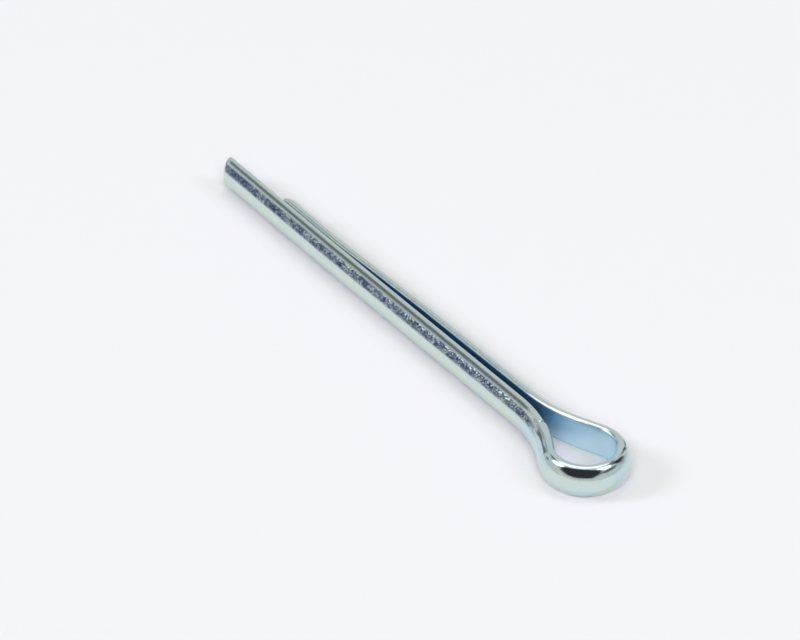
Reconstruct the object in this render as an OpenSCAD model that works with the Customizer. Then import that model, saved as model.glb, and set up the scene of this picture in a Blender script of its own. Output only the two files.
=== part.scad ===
// Cotter pin with an extended prong: one length of half-round wire, folded
// round an open eye so that its flats meet and its two legs make a round shank.
// The origin is on the shank's axis, where the necks of the eye run into the
// legs. +X runs down the shank to the tips, and +Z is square to the eye.

/* [Wire] */
// Radius of the wire's round back, which is also the shank's radius
back_r = 1.45; // [0.8:0.05:2]
// Radius of the two edges between the back and the flat
edge_r = 0.24; // [0.1:0.02:0.4]
// Play between the two flats where the legs lie closed
flat_gap = 0.04; // [0.02:0.01:0.2]

/* [Eye] */
// Radius of the eye's hole
eye_r = 2.5; // [2:0.1:4]
// Distance from the origin back to the eye's centre
eye_x = 8.1; // [6:0.1:12]
// How far the eye's centre sits off the shank's axis, toward the short leg
eye_offset = 0.5; // [0:0.05:0.8]
// Angle at which the long leg's side of the eye flares out
long_flare = 28; // [24:1:34]
// Straight wire between the eye and the bend of the long leg's neck
long_neck = 1; // [0:0.1:1.6]
// Angle at which the short leg's side of the eye flares out
short_flare = 24; // [20:1:28]
// Straight wire between the eye and the bend of the short leg's neck
short_neck = 1.7; // [0:0.1:2.4]

/* [Legs] */
// Length of the long leg, from the origin to its farthest point
long_leg = 43.6; // [38:0.2:70]
// Length of the short leg, from the origin to its farthest point
short_leg = 35.4; // [33:0.2:37]
// Length over which the legs lie closed, back from the short leg's end
closed_run = 6.4; // [4:0.2:10]
// Angle by which the long leg leans toward the short one, back of that stretch
long_lean = 0.6; // [0.2:0.1:1]
// Angle by which the short leg springs open, back of that stretch
short_spring = 2.2; // [1.8:0.1:3]
// Angle by which the short leg turns part of the way closed again
short_set = 1.1; // [0.5:0.1:1.5]
// Distance from the origin to that second turn
set_x = 15; // [10:0.5:20]
// Radius of these slight bends in the legs
set_r = 60; // [20:5:100]

/* [Ends] */
// Slant of the long leg's sheared end, away from square
long_shear = 40; // [0:1:50]
// Slant of the short leg's sheared end, away from square
short_shear = 40; // [0:1:50]

/* [Hidden] */
$fn = 128;

// Each flat lies half the play off the shank's axis, so both backs share that axis
flat_y = flat_gap / 2;
// Height of the centre of an edge's rounding above the middle of the wire
edge_z = sqrt(pow(back_r - edge_r, 2) - pow(flat_y + edge_r, 2));
// Angle round the shank at which the back gives way to the rounded edge
edge_angle = atan2(edge_z, flat_y + edge_r);
// Where the closed stretch starts
closed_x = short_leg - closed_run;
// Bending draws the wire down, so a bend is this much slimmer all round than a run
draw = 0.01;
// How far a run laps into a bend
lap = 0.05;
// A length that reaches past any section of the wire
clear = 4 * back_r;

// The wire's cross-section: X from the flat out to the back, Y up its width
module section(slim = 0) {
    intersection() {
        translate([-flat_y, 0]) circle(back_r - slim);
        polygon([
            [slim, -edge_z], [edge_r, -edge_z],
            [clear * cos(edge_angle) - flat_y, -clear * sin(edge_angle)],
            [clear, -clear], [clear, clear],
            [clear * cos(edge_angle) - flat_y, clear * sin(edge_angle)],
            [edge_r, edge_z], [slim, edge_z]
        ]);
    }
    for (side = [-1, 1]) translate([edge_r, side * edge_z]) circle(edge_r - slim);
}

// The next three modules each lay one stretch of wire, which sets off from the
// origin along +X with its back toward +Y, and put their children at its end.

// A straight run, which laps a little way into the bends at its two ends
module run(length) {
    translate([-lap, 0, 0]) rotate([90, 0, 90]) linear_extrude(length + 2 * lap) section();
    translate([length, 0, 0]) children();
}

// A bend toward the flat, whose radius is that of the flat
module bend_in(angle, radius) {
    translate([0, -radius, 0]) {
        rotate_extrude(angle = angle, start = 90 - angle) translate([radius, 0]) section(draw);
        rotate(-angle) translate([0, radius, 0]) children();
    }
}

// A bend toward the back, whose radius is that of the flat
module bend_out(angle, radius) {
    translate([0, radius, 0]) {
        rotate_extrude(angle = angle, start = -90)
            translate([radius, 0]) mirror([1, 0]) section(draw);
        rotate(angle) translate([0, -radius, 0]) children();
    }
}

// Cuts the outer end of a leg to a slant that leaves its flat the longest
module sheared(length, slant) {
    difference() {
        children();
        translate([length, flat_y, 0]) rotate(slant) translate([0, -clear, -clear]) cube(2 * clear);
    }
}

// A leg's line closes on the shank's axis at an angle, slope, and lies height off
// it at the origin. The neck starts at neck_x, neck_y and turns from flare to slope.
function neck_x(flare, neck) = eye_r * sin(flare) + neck * cos(flare) - eye_x;
function neck_y(flare, neck, offset) = offset + eye_r * cos(flare) - neck * sin(flare);
function neck_r(flare, neck, offset, slope, height) =
    ((neck_y(flare, neck, offset) - height) * cos(slope) + neck_x(flare, neck) * sin(slope))
    / (1 - cos(flare - slope));
// Where the neck ends and the leg begins
function leg_x(flare, neck, slope, radius) =
    neck_x(flare, neck) + radius * (sin(flare) - sin(slope));
// How much of the runs on either side a slight bend takes up
function taken(angle) = set_r * tan(angle / 2);

// The eye, as one bend that ends at the two necks
module eye() {
    translate([-eye_x, -eye_offset, 0]) rotate(90 + short_flare + 90)
        translate([0, eye_r, 0]) bend_in(180 + long_flare + short_flare, eye_r);
}

// The long leg with its neck
module long_side() {
    height = flat_y - closed_x * tan(long_lean);
    radius = neck_r(long_flare, long_neck, -eye_offset, -long_lean, height);
    start_x = leg_x(long_flare, long_neck, -long_lean, radius);
    sheared(long_leg, long_shear)
    translate([-eye_x, -eye_offset, 0]) rotate(-long_flare) translate([0, eye_r, 0])
        run(long_neck)
        bend_out(long_flare + long_lean, radius)
        run((closed_x - start_x) / cos(long_lean) - taken(long_lean))
        bend_in(long_lean, set_r)
        run(long_leg - closed_x - taken(long_lean));
}

// The short leg with its neck, laid on the long leg's side and then mirrored
module short_side() {
    slope = short_spring - short_set;
    height = flat_y + set_x * tan(slope) + (closed_x - set_x) * tan(short_spring);
    radius = neck_r(short_flare, short_neck, eye_offset, slope, height);
    start_x = leg_x(short_flare, short_neck, slope, radius);
    mirror([0, 1, 0])
    sheared(short_leg, short_shear)
    translate([-eye_x, eye_offset, 0]) rotate(-short_flare) translate([0, eye_r, 0])
        run(short_neck)
        bend_out(short_flare - slope, radius)
        run((set_x - start_x) / cos(slope) - taken(short_set))
        bend_in(short_set, set_r)
        run((closed_x - set_x) / cos(short_spring) - taken(short_set) - taken(short_spring))
        bend_out(short_spring, set_r)
        run(short_leg - closed_x - taken(short_spring));
}

module cotter_pin() {
    color([0.74, 0.78, 0.76]) {
        eye();
        long_side();
        short_side();
    }
}

cotter_pin();
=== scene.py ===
"""Cotter pin with an extended prong, 3.2 x 38 mm, in bright zinc-plated steel."""
import math

import bpy
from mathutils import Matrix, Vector


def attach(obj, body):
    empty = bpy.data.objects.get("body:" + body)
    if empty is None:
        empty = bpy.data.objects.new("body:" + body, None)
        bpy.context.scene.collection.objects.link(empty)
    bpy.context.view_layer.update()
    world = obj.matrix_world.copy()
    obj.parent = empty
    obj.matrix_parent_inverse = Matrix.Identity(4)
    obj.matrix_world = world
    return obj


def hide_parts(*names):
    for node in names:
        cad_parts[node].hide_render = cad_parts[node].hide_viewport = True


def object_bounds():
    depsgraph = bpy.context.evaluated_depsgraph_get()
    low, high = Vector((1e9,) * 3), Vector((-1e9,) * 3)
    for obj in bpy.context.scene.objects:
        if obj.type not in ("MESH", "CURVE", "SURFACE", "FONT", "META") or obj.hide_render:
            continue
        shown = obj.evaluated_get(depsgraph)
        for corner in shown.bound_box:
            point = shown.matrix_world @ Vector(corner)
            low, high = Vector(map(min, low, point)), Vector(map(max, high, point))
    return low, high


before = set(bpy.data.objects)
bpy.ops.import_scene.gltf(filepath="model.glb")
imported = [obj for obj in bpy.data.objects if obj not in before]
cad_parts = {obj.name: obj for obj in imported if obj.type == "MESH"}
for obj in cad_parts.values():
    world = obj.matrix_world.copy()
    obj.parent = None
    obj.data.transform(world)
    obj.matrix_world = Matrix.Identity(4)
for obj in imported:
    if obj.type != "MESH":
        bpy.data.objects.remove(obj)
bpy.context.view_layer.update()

# --- The wire -------------------------------------------------------------------
# The pin is one length of low-carbon steel wire. It is drawn half round, folded
# round a mandrel into an open eye so that its flats meet, and sheared off at both
# ends. Bending draws the wire down a little, most of all round the eye.

MM = 0.001

# The half-round section: its back, its two corners, how far its flat stands off the
# middle of the shank, and how finely each stretch of it is divided
back_radius = 1.45 * MM
edge_radius = 0.24 * MM
flat_offset = 0.02 * MM
back_parts = 44
corner_parts = 10
flat_parts = 8

# The eye, inside
eye_radius = 2.5 * MM
eye_centre = Vector((-8.1, -0.5)) * MM

# Each side leaves the eye at a flare, runs straight down its neck, and turns into its
# leg. The long leg leans a little, as far as where the legs lie closed.
long_flare = math.radians(28)
long_neck = 1.0 * MM
long_lean = math.radians(0.6)
long_leg = 43.65 * MM
closed_start = 27.0 * MM

# The short leg stands off the long one at its neck, and comes back to it in two slight
# bends
short_flare = math.radians(24)
short_neck = 1.7 * MM
short_spring = math.radians(2.2)
short_set = math.radians(1.1)
short_slope = short_spring - short_set
short_leg = 35.5 * MM
set_start = 15.0 * MM
set_radius = 60 * MM

# The sheared ends, whose edges are rolled over, and the crease left by forming
shear_slope = 0.25
shear_bow = 0.3 / MM
roll_radius = 0.62 * MM
roll_rings = 8
crease_x = -3.6 * MM

# How far apart the rings of the wire are, in a run and in a bend
run_step = 0.5 * MM
bend_step = 0.1 * MM


def lay(start, heading, moves):
    """The points of a line from start that goes through moves: (length,) is a run
    and (angle, radius) a bend, with turns to the left positive."""
    points = [start.copy()]
    for move in moves:
        spot = points[-1]
        if len(move) == 1:
            length = move[0]
            count = max(1, round(length / run_step))
            onward = Vector((math.cos(heading), math.sin(heading)))
            points += [spot + onward * length * i / count for i in range(1, count + 1)]
            continue
        angle, radius = move
        hand = math.copysign(1, angle)
        pivot = spot + hand * radius * Vector((-math.sin(heading), math.cos(heading)))
        count = max(4, round(abs(angle) * radius / bend_step))
        for i in range(1, count + 1):
            turned = heading + angle * i / count
            points.append(pivot + hand * radius * Vector((math.sin(turned), -math.cos(turned))))
        heading += angle
    return points


def neck_and_leg(offset, flare, neck, slope, height, moves):
    """One side of the pin, from the eye out to its leg's end. The neck's bend comes out
    on the leg's line, which slopes and lies at this height over the origin. moves
    gives the moves of the leg, once it is known where the neck ends."""
    start = Vector((eye_centre.x, offset)) + eye_radius * Vector((math.sin(flare), math.cos(flare)))
    bend_start = start + neck * Vector((math.cos(flare), -math.sin(flare)))
    drop = (bend_start.y - height) * math.cos(slope) + bend_start.x * math.sin(slope)
    radius = drop / (1 - math.cos(flare - slope))
    leg_start = bend_start.x + radius * (math.sin(flare) - math.sin(slope))
    return lay(start, -flare, [(neck,), (flare - slope, radius)] + moves(leg_start))


def taken(angle):
    """How much of the runs beside it a slight bend takes up."""
    return set_radius * math.tan(angle / 2)


def rolled_end():
    """Runs that get shorter toward a leg's end, so that its rolled edge comes out round."""
    reached = [roll_radius * math.sin(math.pi / 2 * i / roll_rings) for i in range(roll_rings + 1)]
    return [(far - near,) for near, far in zip(reached, reached[1:])]


def long_moves(leg_start):
    """The long leg: a run, a slight bend toward the short leg's line, and a run."""
    first = (closed_start - leg_start) / math.cos(long_lean) - taken(long_lean)
    second = long_leg - closed_start - taken(long_lean) - roll_radius
    return [(first,), (-long_lean, set_radius), (second,)] + rolled_end()


def short_moves(leg_start):
    """The short leg: sprung open from the neck up to the stretch that lies closed."""
    first = (set_start - leg_start) / math.cos(short_slope) - taken(short_set)
    second = (closed_start - set_start) / math.cos(short_spring)
    second -= taken(short_set) + taken(short_spring)
    third = short_leg - closed_start - taken(short_spring) - roll_radius
    return [(first,), (-short_set, set_radius), (second,), (short_spring, set_radius),
            (third,)] + rolled_end()


# The line of the flat, from the long leg's end round the eye to the short leg's end.
# The short side is laid out as the long one is, and turned over.
long_height = flat_offset - closed_start * math.tan(long_lean)
long_line = neck_and_leg(eye_centre.y, long_flare, long_neck, -long_lean, long_height, long_moves)
short_height = (flat_offset + set_start * math.tan(short_slope)
                + (closed_start - set_start) * math.tan(short_spring))
short_line = neck_and_leg(-eye_centre.y, short_flare, short_neck, short_slope, short_height,
                          short_moves)
short_line = [Vector((point.x, -point.y)) for point in short_line]
eye_turn = math.pi + long_flare + short_flare
eye_line = lay(long_line[0], math.pi - long_flare, [(eye_turn, eye_radius)])
flat_line = long_line[::-1] + eye_line[1:-1] + short_line
crease_at = sum((far - near).length for near, far in zip(long_line, long_line[1:])
                if far.x > crease_x)


def arc(centre, radius, first, last, count):
    """Points on an arc, both ends included."""
    turns = [first + (last - first) * i / count for i in range(count + 1)]
    return [Vector((centre[0] + radius * math.cos(turn), centre[1] + radius * math.sin(turn)))
            for turn in turns]


# The half-round section, from the flat at X = 0 out to the back
edge_height = math.sqrt((back_radius - edge_radius) ** 2 - (flat_offset + edge_radius) ** 2)
edge_angle = math.atan2(edge_height, flat_offset + edge_radius)
section = arc((-flat_offset, 0), back_radius, edge_angle, -edge_angle, back_parts)
section += arc((edge_radius, -edge_height), edge_radius, -edge_angle, -math.pi, corner_parts)[1:]
section += [Vector((0, edge_height * (2 * i / flat_parts - 1))) for i in range(1, flat_parts)]
section += arc((edge_radius, edge_height), edge_radius, math.pi, edge_angle, corner_parts)[:-1]


def line_object(name, points, closed):
    """A poly curve through flat points."""
    curve = bpy.data.curves.new(name, "CURVE")
    curve.dimensions = "3D"
    spline = curve.splines.new("POLY")
    spline.points.add(len(points) - 1)
    for point, spot in zip(spline.points, points):
        point.co = (spot.x, spot.y, 0, 1)
    spline.use_cyclic_u = closed
    thing = bpy.data.objects.new(name, curve)
    bpy.context.scene.collection.objects.link(thing)
    return thing


def add(tree, kind, settings=None, links=None):
    """Adds a node with its settings, and gives each input in links a socket or a value."""
    made = tree.nodes.new(kind)
    for name, value in (settings or {}).items():
        setattr(made, name, value)
    for key, value in (links or {}).items():
        if isinstance(value, bpy.types.NodeSocket):
            tree.links.new(value, made.inputs[key])
        else:
            made.inputs[key].default_value = value
    return made


# Settings and inputs that many nodes share
times = {"operation": "MULTIPLY"}
plus = {"operation": "ADD"}
minus = {"operation": "SUBTRACT"}
smooth = {"interpolation_type": "SMOOTHSTEP"}
mixing = {"data_type": "RGBA"}
falling = {"To Min": 1.0, "To Max": 0.0}


def sweep_tree(sizes):
    """Sweeps the section along the flat's line, drawn down round the eye and sheared."""
    tree = bpy.data.node_groups.new("half_round_wire", "GeometryNodeTree")
    face = tree.interface
    for name, kind in (("Geometry", "NodeSocketGeometry"), ("Section", "NodeSocketObject"),
                       ("Eye centre", "NodeSocketVector"), ("Finish", "NodeSocketMaterial")):
        face.new_socket(name, in_out="INPUT", socket_type=kind)
    for name in sizes:
        face.new_socket(name, in_out="INPUT", socket_type="NodeSocketFloat")
    face.new_socket("Geometry", in_out="OUTPUT", socket_type="NodeSocketGeometry")
    size = add(tree, "NodeGroupInput").outputs

    # What each point of the line needs to remember: its place, the way out to the back,
    # the way along, and how far it is from the long leg's end and from the short leg's
    spot = add(tree, "GeometryNodeInputPosition").outputs[0]
    along = add(tree, "GeometryNodeInputTangent").outputs[0]
    outward = add(tree, "ShaderNodeVectorMath", {"operation": "CROSS_PRODUCT"},
                  {0: along, 1: (0, 0, 1)}).outputs[0]
    length = add(tree, "GeometryNodeSplineParameter").outputs["Length"]
    whole = add(tree, "GeometryNodeSplineLength").outputs["Length"]
    left = add(tree, "ShaderNodeMath", minus, {0: whole, 1: length}).outputs[0]
    shape = size["Geometry"]
    for name, kind, value in (("spot", "FLOAT_VECTOR", spot), ("outward", "FLOAT_VECTOR", outward),
                              ("along", "FLOAT_VECTOR", along), ("from_tip", "FLOAT", length),
                              ("from_end", "FLOAT", left)):
        shape = add(tree, "GeometryNodeStoreNamedAttribute", {"data_type": kind},
                    {"Geometry": shape, "Name": name, "Value": value}).outputs[0]

    # What each point of the section needs to remember: how far out it is, and how high
    outline = add(tree, "GeometryNodeObjectInfo", None, {"Object": size["Section"]}).outputs["Geometry"]
    place = add(tree, "GeometryNodeInputPosition").outputs[0]
    across = add(tree, "ShaderNodeSeparateXYZ", None, {0: place}).outputs
    for name, value in (("back", across["X"]), ("rise", across["Y"])):
        outline = add(tree, "GeometryNodeStoreNamedAttribute", {"data_type": "FLOAT"},
                      {"Geometry": outline, "Name": name, "Value": value}).outputs[0]
    swept = add(tree, "GeometryNodeCurveToMesh", None,
                {"Curve": shape, "Profile Curve": outline, "Fill Caps": True}).outputs[0]
    given = {}
    for name, kind in (("spot", "FLOAT_VECTOR"), ("outward", "FLOAT_VECTOR"),
                       ("along", "FLOAT_VECTOR"), ("from_tip", "FLOAT"), ("from_end", "FLOAT"),
                       ("back", "FLOAT"), ("rise", "FLOAT")):
        given[name] = add(tree, "GeometryNodeInputNamedAttribute", {"data_type": kind},
                          {"Name": name}).outputs["Attribute"]

    # Round the eye the wire is thinner from flat to back, and a little wider
    from_eye = add(tree, "ShaderNodeVectorMath", {"operation": "DISTANCE"},
                   {0: given["spot"], 1: size["Eye centre"]}).outputs["Value"]
    drawn = add(tree, "ShaderNodeMapRange", smooth,
                {"Value": from_eye, "From Min": size["Eye reach"], "From Max": size["Neck reach"],
                 **falling}).outputs[0]
    thinned = add(tree, "ShaderNodeMath", times, {0: drawn, 1: size["Thinning"]}).outputs[0]
    thinned = add(tree, "ShaderNodeMath", minus, {0: 1.0, 1: thinned}).outputs[0]
    back = add(tree, "ShaderNodeMath", times, {0: given["back"], 1: thinned}).outputs[0]
    spread = add(tree, "ShaderNodeMath", times, {0: drawn, 1: size["Spreading"]}).outputs[0]
    spread = add(tree, "ShaderNodeMath", plus, {0: 1.0, 1: spread}).outputs[0]
    rise = add(tree, "ShaderNodeMath", times, {0: given["rise"], 1: spread}).outputs[0]

    # Its corners are rounder there too: the sides swell between the flat and the back
    swell = add(tree, "ShaderNodeMapRange", None,
                {"Value": given["back"], "From Min": size["Corner radius"], "From Max": 0.0,
                 **falling}).outputs[0]
    ebb = add(tree, "ShaderNodeMapRange", smooth,
              {"Value": given["back"], "From Min": size["Corner radius"],
               "From Max": size["Back radius"], **falling}).outputs[0]
    swell = add(tree, "ShaderNodeMath", times, {0: swell, 1: ebb}).outputs[0]
    swell = add(tree, "ShaderNodeMath", times, {0: swell, 1: drawn}).outputs[0]
    swell = add(tree, "ShaderNodeMath", times, {0: swell, 1: size["Rounding"]}).outputs[0]
    back = add(tree, "ShaderNodeMath", plus, {0: back, 1: swell}).outputs[0]

    # The shear rolls the edges of the ends over in a quarter round, which draws the
    # section in toward its middle
    nearest = add(tree, "ShaderNodeMath", {"operation": "MINIMUM"},
                  {0: given["from_tip"], 1: given["from_end"]}).outputs[0]
    beyond = add(tree, "ShaderNodeMapRange", None,
                 {"Value": nearest, "From Max": size["Roll"], **falling}).outputs[0]
    curl = add(tree, "ShaderNodeMath", times, {0: beyond, 1: beyond}).outputs[0]
    curl = add(tree, "ShaderNodeMath", minus, {0: 1.0, 1: curl}).outputs[0]
    curl = add(tree, "ShaderNodeMath", {"operation": "SQRT"}, {0: curl}).outputs[0]
    inset = add(tree, "ShaderNodeMath", minus, {0: 1.0, 1: curl}).outputs[0]
    inset = add(tree, "ShaderNodeMath", times, {0: size["Roll"], 1: inset}).outputs[0]
    inset = add(tree, "ShaderNodeMath", {"operation": "DIVIDE"},
                {0: inset, 1: size["Middle to edge"]}).outputs[0]
    share = add(tree, "ShaderNodeMath", minus, {0: 1.0, 1: inset}).outputs[0]
    back = add(tree, "ShaderNodeMath", minus, {0: back, 1: size["Middle"]}).outputs[0]
    back = add(tree, "ShaderNodeMath", times, {0: back, 1: share}).outputs[0]
    back = add(tree, "ShaderNodeMath", plus, {0: back, 1: size["Middle"]}).outputs[0]
    rise = add(tree, "ShaderNodeMath", times, {0: rise, 1: share}).outputs[0]

    # A crease crosses the upper inner corner of the long neck, and beyond it the rim
    # is a little upset
    past = add(tree, "ShaderNodeMath", minus, {0: given["from_tip"], 1: size["Crease at"]}).outputs[0]
    upset = add(tree, "ShaderNodeMapRange", smooth,
                {"Value": past, "From Max": size["Upset start"]}).outputs[0]
    waning = add(tree, "ShaderNodeMapRange", smooth,
                 {"Value": past, "From Min": size["Upset full"], "From Max": size["Upset end"],
                  **falling}).outputs[0]
    upset = add(tree, "ShaderNodeMath", times, {0: upset, 1: waning}).outputs[0]
    groove = add(tree, "ShaderNodeMath", {"operation": "ABSOLUTE"}, {0: past}).outputs[0]
    groove = add(tree, "ShaderNodeMapRange", None,
                 {"Value": groove, "From Max": size["Crease width"], **falling}).outputs[0]
    corner = add(tree, "ShaderNodeMapRange", smooth,
                 {"Value": given["rise"], "From Min": size["Corner low"],
                  "From Max": size["Corner high"]}).outputs[0]
    inner = add(tree, "ShaderNodeMapRange", smooth,
                {"Value": given["back"], "From Min": size["Corner near"],
                 "From Max": size["Corner far"], **falling}).outputs[0]
    corner = add(tree, "ShaderNodeMath", times, {0: corner, 1: inner}).outputs[0]
    push = add(tree, "ShaderNodeMath", minus, {0: groove, 1: upset}).outputs[0]
    push = add(tree, "ShaderNodeMath", times, {0: push, 1: corner}).outputs[0]
    push = add(tree, "ShaderNodeMath", times, {0: push, 1: size["Crease depth"]}).outputs[0]
    back = add(tree, "ShaderNodeMath", plus, {0: back, 1: push}).outputs[0]
    sunk = add(tree, "ShaderNodeMath", times, {0: groove, 1: corner}).outputs[0]
    sunk = add(tree, "ShaderNodeMath", times, {0: sunk, 1: size["Crease depth"]}).outputs[0]
    rise = add(tree, "ShaderNodeMath", minus, {0: rise, 1: sunk}).outputs[0]

    # Toward each end the rings lean back, so that the flat is the longest, and bulge
    bulge = add(tree, "ShaderNodeMath", times, {0: back, 1: back}).outputs[0]
    bulge = add(tree, "ShaderNodeMath", times, {0: bulge, 1: size["Shear bow"]}).outputs[0]
    slant = add(tree, "ShaderNodeMath", times, {0: back, 1: size["Shear"]}).outputs[0]
    slant = add(tree, "ShaderNodeMath", plus, {0: slant, 1: bulge}).outputs[0]
    leans = []
    for distance in (given["from_tip"], given["from_end"]):
        near = add(tree, "ShaderNodeMapRange", None,
                   {"Value": distance, "From Max": size["Shear reach"], **falling}).outputs[0]
        leans.append(add(tree, "ShaderNodeMath", times, {0: near, 1: slant}).outputs[0])
    slid = add(tree, "ShaderNodeMath", minus, {0: leans[0], 1: leans[1]}).outputs[0]

    place = given["spot"]
    for way, amount in ((given["outward"], back), ((0.0, 0.0, 1.0), rise), (given["along"], slid)):
        moved = add(tree, "ShaderNodeVectorMath", {"operation": "SCALE"},
                    {0: way, "Scale": amount}).outputs[0]
        place = add(tree, "ShaderNodeVectorMath", plus, {0: place, 1: moved}).outputs[0]
    shape = add(tree, "GeometryNodeSetPosition", None, {"Geometry": swept, "Position": place}).outputs[0]
    shape = add(tree, "GeometryNodeRealizeInstances", None, {"Geometry": shape}).outputs[0]
    shape = add(tree, "GeometryNodeSetMaterial", None,
                {"Geometry": shape, "Material": size["Finish"]}).outputs[0]
    add(tree, "NodeGroupOutput", None, {0: shape})
    return tree


def linear(code):
    """An sRGB hex colour as the linear colour that a shader takes."""
    parts = [int(code[i:i + 2], 16) / 255 for i in (1, 3, 5)]
    return [p / 12.92 if p <= 0.04045 else ((p + 0.055) / 1.055) ** 2.4 for p in parts] + [1.0]


def zinc_plate():
    """Blue-passivated electroplated zinc on drawn steel. It looks like a bright pale metal
    under a film of faint colour, bluest on the flats, with a painted dark reflection in
    speckled bands along the legs and painted shade in the slot between them."""
    cloud_size = 3.5 * MM
    crystal_size = 0.11 * MM
    clump_size = 0.9 * MM
    peel_size = 0.5 * MM
    material = bpy.data.materials.new("blue_passivated_zinc_on_drawn_steel")
    material.use_nodes = True
    tree = material.node_tree
    tree.nodes.clear()
    where = add(tree, "ShaderNodeTexCoord").outputs["Object"]
    down_leg = add(tree, "ShaderNodeSeparateXYZ", None, {0: where}).outputs["X"]
    from_eye = add(tree, "ShaderNodeVectorMath", {"operation": "DISTANCE"},
                   {0: where, 1: (eye_centre.x, eye_centre.y, 0)}).outputs["Value"]
    back = add(tree, "ShaderNodeAttribute", {"attribute_name": "back"}).outputs["Fac"]
    rise = add(tree, "ShaderNodeAttribute", {"attribute_name": "rise"}).outputs["Fac"]
    from_tip = add(tree, "ShaderNodeAttribute", {"attribute_name": "from_tip"}).outputs["Fac"]
    from_end = add(tree, "ShaderNodeAttribute", {"attribute_name": "from_end"}).outputs["Fac"]

    # The passivation is a thin film in soft clouds, greenish along the legs and more
    # bluish round the eye
    cloud = add(tree, "ShaderNodeTexNoise", None,
                {"Vector": where, "Scale": 1 / cloud_size, "Detail": 2.0}).outputs["Fac"]
    cloud = add(tree, "ShaderNodeMapRange", None,
                {"Value": cloud, "From Min": 0.35, "From Max": 0.65}).outputs[0]
    bluish = add(tree, "ShaderNodeMapRange", None,
                 {"Value": from_eye, "From Min": 4 * MM, "From Max": 9 * MM,
                  "To Min": 1.0, "To Max": 0.3}).outputs[0]
    cloud = add(tree, "ShaderNodeMath", times, {0: cloud, 1: bluish}).outputs[0]
    film = add(tree, "ShaderNodeMix", mixing,
               {"Factor": cloud, "A": linear("#D3E2D8"), "B": linear("#C8DEE5")}).outputs["Result"]

    # On the flats the film pooled: pale blue inside the eye and a darker, deeper blue in the slot
    # between the legs, up to where they lie closed. The slot's darker blue is partly that pooled
    # film and partly painted shade between the legs.
    flat = add(tree, "ShaderNodeMapRange", None,
               {"Value": back, "From Min": 0.01 * MM, "From Max": 0.06 * MM, **falling}).outputs[0]
    opened = add(tree, "ShaderNodeMapRange", None,
                 {"Value": down_leg, "From Min": closed_start, "From Max": closed_start - 4 * MM,
                  "To Min": 0.3, "To Max": 1.0}).outputs[0]
    deep_film_and_slot_shade = add(tree, "ShaderNodeMapRange", None,
               {"Value": from_eye, "From Min": 4 * MM, "From Max": 9 * MM}).outputs[0]
    deep_film_and_slot_shade = add(tree, "ShaderNodeMath", times, {0: deep_film_and_slot_shade, 1: opened}).outputs[0]
    # Toward the deep colour the flats darken in the open slot: painted shade on top of the pooled film
    pooled_film_and_slot_shade = add(tree, "ShaderNodeMix", mixing,
                 {"Factor": deep_film_and_slot_shade, "A": linear("#D6F4FF"), "B": linear("#90C6EC")}).outputs["Result"]
    tint = add(tree, "ShaderNodeMath", times, {0: flat, 1: opened}).outputs[0]
    film = add(tree, "ShaderNodeMix", mixing, {"Factor": tint, "A": film, "B": pooled_film_and_slot_shade}).outputs["Result"]

    # Zinc crystals, drawn as coarse as they need to be to show: each is a facet tilted
    # its own way. They stay rough in a band between the middle of the back and each
    # corner, which the die has rubbed flat, and the long leg's rolled end has none.
    # The same band also carries a painted dark reflection, laid on further down.
    # They show less toward the long leg's end, and bending has rubbed them round the eye.
    crystal = add(tree, "ShaderNodeTexVoronoi", None,
                  {"Vector": where, "Scale": 1 / crystal_size}).outputs["Color"]
    height = add(tree, "ShaderNodeMath", {"operation": "ABSOLUTE"}, {0: rise}).outputs[0]
    turn = add(tree, "ShaderNodeMath", {"operation": "ARCTAN2"}, {0: height, 1: back}).outputs[0]
    crystal_and_dark_band = add(tree, "ShaderNodeMapRange", None,
                 {"Value": turn, "From Min": math.radians(51), "From Max": math.radians(55),
                  "To Min": 1.0, "To Max": 0.05}).outputs[0]
    off_middle = add(tree, "ShaderNodeMapRange", None,
                     {"Value": turn, "From Min": math.radians(23),
                      "From Max": math.radians(33)}).outputs[0]
    crystal_and_dark_band = add(tree, "ShaderNodeMath", times, {0: crystal_and_dark_band, 1: off_middle}).outputs[0]
    off_roll = add(tree, "ShaderNodeMapRange", None,
                   {"Value": from_tip, "From Min": 0.35 * MM, "From Max": 0.75 * MM}).outputs[0]
    crystal_and_dark_band = add(tree, "ShaderNodeMath", times, {0: crystal_and_dark_band, 1: off_roll}).outputs[0]
    unbent = add(tree, "ShaderNodeMapRange", None,
                 {"Value": from_eye, "From Min": 4 * MM, "From Max": 7 * MM,
                  "To Min": 0.1, "To Max": 1.0}).outputs[0]
    grown = add(tree, "ShaderNodeMapRange", None,
                {"Value": from_tip, "From Min": 1.5 * MM, "From Max": 9 * MM,
                 "To Min": 0.4, "To Max": 1.0}).outputs[0]
    rough = add(tree, "ShaderNodeMath", times, {0: crystal_and_dark_band, 1: grown}).outputs[0]
    rough = add(tree, "ShaderNodeMath", times, {0: rough, 1: unbent}).outputs[0]

    # The short leg keeps some of its crystals next to its corners as well, with their painted dark
    # specks
    short = add(tree, "ShaderNodeMapRange", None,
                {"Value": from_end, "From Min": 31 * MM, "From Max": 35 * MM,
                 "To Min": 0.4, "To Max": 0.0}).outputs[0]
    corner = add(tree, "ShaderNodeMapRange", None,
                 {"Value": turn, "From Min": math.radians(68), "From Max": math.radians(72)}).outputs[0]
    corner = add(tree, "ShaderNodeMath", times, {0: short, 1: corner}).outputs[0]
    rough = add(tree, "ShaderNodeMath", {"operation": "MAXIMUM"}, {0: rough, 1: corner}).outputs[0]
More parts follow.
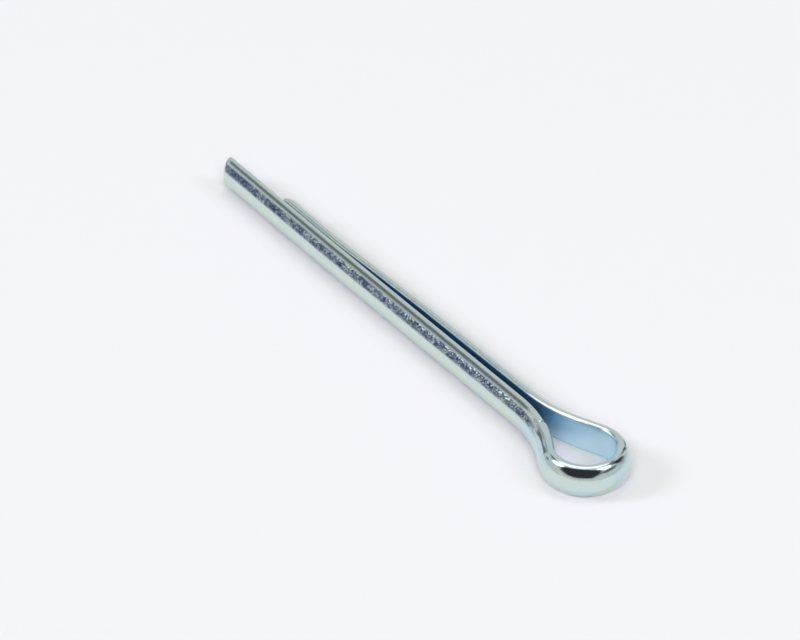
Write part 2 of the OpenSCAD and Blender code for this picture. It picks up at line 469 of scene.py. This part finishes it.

    # A painted dark reflection lies along the bands, in clumps, and each crystal in them is painted
    # lighter or darker
    clump = add(tree, "ShaderNodeTexNoise", None,
                {"Vector": where, "Scale": 1 / clump_size, "Detail": 2.0}).outputs["Fac"]
    clump = add(tree, "ShaderNodeMapRange", None,
                {"Value": clump, "From Min": 0.35, "From Max": 0.65,
                 "To Min": 0.56, "To Max": 0.98}).outputs[0]
    painted_dark_band = add(tree, "ShaderNodeMath", times, {0: crystal_and_dark_band, 1: unbent}).outputs[0]
    painted_dark_reflection = add(tree, "ShaderNodeMath", times, {0: painted_dark_band, 1: clump}).outputs[0]
    speck = add(tree, "ShaderNodeSeparateXYZ", None, {0: crystal}).outputs["X"]
    speck = add(tree, "ShaderNodeMapRange", None,
                {"Value": speck, "To Min": -0.46, "To Max": 0.46}).outputs[0]
    painted_dark_reflection = add(tree, "ShaderNodeMath", {"operation": "MULTIPLY_ADD", "use_clamp": True},
               {0: speck, 1: rough, 2: painted_dark_reflection}).outputs[0]
    # The painted dark reflection: the film turns toward dark blue-grey along the bands and in the specks
    film = add(tree, "ShaderNodeMix", mixing,
               {"Factor": painted_dark_reflection, "A": film, "B": linear("#3C4A6E")}).outputs["Result"]

    # The facets, and a slight orange peel that is deepest round the eye
    lean = add(tree, "ShaderNodeMath", times, {0: rough, 1: 0.1}).outputs[0]
    tilt = add(tree, "ShaderNodeVectorMath", minus, {0: crystal, 1: (0.5, 0.5, 0.5)}).outputs[0]
    tilt = add(tree, "ShaderNodeVectorMath", {"operation": "SCALE"},
               {0: tilt, "Scale": lean}).outputs[0]
    peel = add(tree, "ShaderNodeTexNoise", None,
               {"Vector": where, "Scale": 1 / peel_size, "Detail": 1.0}).outputs["Color"]
    peel = add(tree, "ShaderNodeVectorMath", minus, {0: peel, 1: (0.5, 0.5, 0.5)}).outputs[0]
    unevenness = add(tree, "ShaderNodeMapRange", None,
                     {"Value": from_eye, "From Min": 5 * MM, "From Max": 9 * MM,
                      "To Min": 0.07, "To Max": 0.03}).outputs[0]
    peel = add(tree, "ShaderNodeVectorMath", {"operation": "SCALE"},
               {0: peel, "Scale": unevenness}).outputs[0]
    tilt = add(tree, "ShaderNodeVectorMath", plus, {0: tilt, 1: peel}).outputs[0]
    facet = add(tree, "ShaderNodeNewGeometry").outputs["Normal"]
    facet = add(tree, "ShaderNodeVectorMath", plus, {0: facet, 1: tilt}).outputs[0]
    facet = add(tree, "ShaderNodeVectorMath", {"operation": "NORMALIZE"}, {0: facet}).outputs[0]

    # Bright on the back, a touch less so in the bands, and satin on the flats
    metallic = add(tree, "ShaderNodeMapRange", None,
                   {"Value": flat, "To Min": 1.0, "To Max": 0.95}).outputs[0]
    satin = add(tree, "ShaderNodeMapRange", None,
                {"Value": flat, "To Min": 0.1, "To Max": 0.36}).outputs[0]
    grain = add(tree, "ShaderNodeMath", times, {0: rough, 1: 0.03}).outputs[0]
    satin = add(tree, "ShaderNodeMath", plus, {0: satin, 1: grain}).outputs[0]
    shader = add(tree, "ShaderNodeBsdfPrincipled", None,
                 {"Base Color": film, "Metallic": metallic, "Roughness": satin,
                  "Normal": facet}).outputs[0]
    add(tree, "ShaderNodeOutputMaterial", None, {"Surface": shader})
    return material


# How the bends, the shear and the crease change the section, as the tree's sizes
changes = {"Corner radius": edge_radius, "Back radius": back_radius,
           "Eye reach": eye_radius, "Neck reach": 7 * MM,
           "Thinning": 0.08, "Spreading": 0.024, "Rounding": 0.2 * MM,
           "Roll": roll_radius, "Middle": 0.5 * MM, "Middle to edge": 1.1 * MM,
           "Crease at": crease_at, "Crease depth": 0.06 * MM, "Crease width": 0.15 * MM,
           "Upset start": 0.2 * MM, "Upset full": 1.0 * MM, "Upset end": 5.0 * MM,
           "Corner low": 0.7 * MM, "Corner high": 1.2 * MM,
           "Corner near": 0.2 * MM, "Corner far": 0.9 * MM,
           "Shear": shear_slope, "Shear bow": shear_bow, "Shear reach": 3 * MM}
wire = line_object("wire", flat_line, False)
profile = line_object("section", section, True)
sweep = wire.modifiers.new("sweep", "NODES")
sweep.node_group = sweep_tree(changes)
inputs = {"Section": profile, "Eye centre": (eye_centre.x, eye_centre.y, 0.0),
          "Finish": zinc_plate(), **changes}
for socket in sweep.node_group.interface.items_tree:
    if socket.name in inputs:
        sweep[socket.identifier] = inputs[socket.name]
solid = bpy.data.meshes.new_from_object(wire.evaluated_get(bpy.context.evaluated_depsgraph_get()))
pin = bpy.data.objects.new("zinc_plated_pin", solid)
bpy.context.scene.collection.objects.link(pin)
for scaffold in (wire, profile):
    bpy.data.objects.remove(scaffold)

# Shaded smooth, but for edges that turn by more than this
hard_turn = math.radians(40)
solid.polygons.foreach_set("use_smooth", [True] * len(solid.polygons))
solid.set_sharp_from_angle(angle=hard_turn)
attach(pin, "root")
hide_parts("cotter_pin")

# --- The room -------------------------------------------------------------------
# A sheet of white paper in a white light tent, with soft lamps round it. The tent has
# an opening for the camera and gaps where it is joined, which the metal shows.

floor_half = 1.5
floor_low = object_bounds()[0].z
floor_mesh = bpy.data.meshes.new("floor")
floor_mesh.from_pydata([(-floor_half, -floor_half, floor_low), (floor_half, -floor_half, floor_low),
                        (floor_half, floor_half, floor_low), (-floor_half, floor_half, floor_low)],
                       [], [(0, 1, 2, 3)])
floor = bpy.data.objects.new("floor", floor_mesh)
bpy.context.scene.collection.objects.link(floor)
paper = bpy.data.materials.new("white_paper")
paper.use_nodes = True
paper.node_tree.nodes["Principled BSDF"].inputs["Base Color"].default_value = linear("#F5F3F9")
paper.node_tree.nodes["Principled BSDF"].inputs["Roughness"].default_value = 0.9
floor_mesh.materials.append(paper)


def direction(azimuth, elevation):
    """A unit vector, from degrees round from +X and degrees up."""
    level = math.cos(math.radians(elevation))
    return Vector((level * math.cos(math.radians(azimuth)),
                   level * math.sin(math.radians(azimuth)), math.sin(math.radians(elevation))))


def soft_lamp(name, azimuth, elevation, wide, high, radiance, tint):
    """An oval lamp, seen from the pin over these half angles in degrees. Its energy is
    pi times its radiance times its area."""
    distance = 4.0
    width = 2 * distance * math.tan(math.radians(wide))
    height = 2 * distance * math.tan(math.radians(high))
    lamp = bpy.data.lights.new(name, "AREA")
    lamp.shape = "ELLIPSE"
    lamp.size = width
    lamp.size_y = height
    lamp.color = tint
    lamp.energy = radiance * math.pi * math.pi * width * height / 4
    thing = bpy.data.objects.new(name, lamp)
    thing.location = distance * direction(azimuth, elevation)
    thing.rotation_euler = direction(azimuth, elevation).to_track_quat("Z", "Y").to_euler()
    thing.visible_glossy = False
    bpy.context.scene.collection.objects.link(thing)


# The lamps at the sides are faintly violet, and the fill between the lamps is faintly
# green: open paper comes out neutral, and the shadows on it a little green
soft_lamp("lamp_left", 57, 34, 9, 9, 10.7, (1.0, 0.9, 1.15))
soft_lamp("lamp_right", -144, 46, 13, 16, 2.5, (1.0, 0.82, 1.3))
soft_lamp("lamp_above", -35, 77, 18, 12, 1.45, (1.0, 0.98, 1.02))
# The bounce light round the camera shows in the metal as the tent's dark opening
soft_lamp("lamp_front", 145, 43, 20, 15, 6.5, (1.0, 0.97, 0.95))
fill = (0.27, 0.34, 0.24, 1)

world = bpy.data.worlds.new("light_tent")
world.use_nodes = True
sky = world.node_tree
sky.nodes.clear()
facing = add(sky, "ShaderNodeTexCoord").outputs["Generated"]


def in_patch(azimuth, elevation, wide, high, edge):
    """How far a direction is inside an oval patch of the tent, from 0 at its rim up to 1.
    The patch's centre and half sizes are in degrees, and edge is the share of it that
    fades."""
    turned = add(sky, "ShaderNodeMapping", {"vector_type": "TEXTURE"},
                 {"Vector": facing, "Location": direction(azimuth, elevation),
                  "Rotation": (0, math.radians(90 - elevation), math.radians(azimuth)),
                  "Scale": (math.sin(math.radians(high)), math.sin(math.radians(wide)), 2)}).outputs[0]
    inside = add(sky, "ShaderNodeTexGradient", {"gradient_type": "SPHERICAL"},
                 {"Vector": turned}).outputs["Fac"]
    return add(sky, "ShaderNodeMapRange", smooth, {"Value": inside, "From Max": edge}).outputs[0]


# The dark opening, which ends softly above the floor
opening = in_patch(130, 44, 54, 38, 0.2)
upward = add(sky, "ShaderNodeSeparateXYZ", None, {0: facing}).outputs["Z"]
above = add(sky, "ShaderNodeMapRange", smooth,
            {"Value": upward, "From Min": math.sin(math.radians(5)),
             "From Max": math.sin(math.radians(17))}).outputs[0]
opening = add(sky, "ShaderNodeMath", times, {0: opening, 1: above}).outputs[0]
seen = add(sky, "ShaderNodeMix", mixing,
           {"Factor": opening, "A": linear("#DADBDF"), "B": linear("#36353F")}).outputs["Result"]

# The other patches, each laid over those before it, with its colour and level. Those
# with a level above 1 are the lamps, as the metal shows them.
patches = [(-150, 29, 32, 10, 0.5, "#6C6E76", 1),
           (-105, 34, 16, 26, 0.4, "#404048", 1),
           (-84, 57, 22, 10, 0.8, "#74747C", 1),
           (-74, 24, 7, 24, 0.6, "#585A62", 1),
           (-66, 3, 6, 16, 0.7, "#74767A", 1),
           (-108, 16, 22, 9, 0.8, "#A4A6AA", 1),
           (31, 41, 8, 8, 0.7, "#BCC2CC", 1),
           (-144, 55, 13, 16, 0.12, "#F0F4FF", 2.5),
           (-28, 73, 27, 17, 0.2, "#FFFFFF", 1.7),
           (54, 46, 14, 15, 0.12, "#F4F6FF", 2.7),
           (13, 47, 14, 10, 0.7, "#76777E", 1),
           (4, 28, 14, 12, 1.0, "#A0A2A0", 1),
           (13, 6, 8, 26, 0.5, "#76777E", 1),
           (32, 15, 7, 9, 0.8, "#50525C", 1)]
for azimuth, elevation, wide, high, edge, colour, level in patches:
    share = in_patch(azimuth, elevation, wide, high, edge)
    seen = add(sky, "ShaderNodeMix", mixing,
               {"Factor": share, "A": seen,
                "B": [part * level for part in linear(colour)]}).outputs["Result"]

# The metal shows the tent, the fill lights everything else, and white lies beyond the floor
path = add(sky, "ShaderNodeLightPath").outputs
light = add(sky, "ShaderNodeMix", mixing,
            {"Factor": path["Is Glossy Ray"], "A": fill, "B": seen}).outputs["Result"]
light = add(sky, "ShaderNodeMix", mixing,
            {"Factor": path["Is Camera Ray"], "A": light, "B": linear("#F5F4FA")}).outputs["Result"]
glow = add(sky, "ShaderNodeBackground", None, {"Color": light}).outputs[0]
add(sky, "ShaderNodeOutputWorld", None, {"Surface": glow})
bpy.context.scene.world = world

# --- The camera -----------------------------------------------------------------
# A long lens, which looks down on the pin from the eye's end and the long leg's side.

sight = direction(145.36, 35.627)
target = Vector((16.137, 0.837, 0)) * MM
stand_off = 386.6 * MM
lens = bpy.data.cameras.new("camera")
lens.sensor_width = 36
lens.lens = 207.63
lens.clip_start = 0.01
camera = bpy.data.objects.new("camera", lens)
bpy.context.scene.collection.objects.link(camera)
camera.location = target + stand_off * sight
camera.rotation_euler = sight.to_track_quat("Z", "Y").to_euler()
bpy.context.scene.camera = camera
bpy.context.scene.view_settings.view_transform = "Standard"
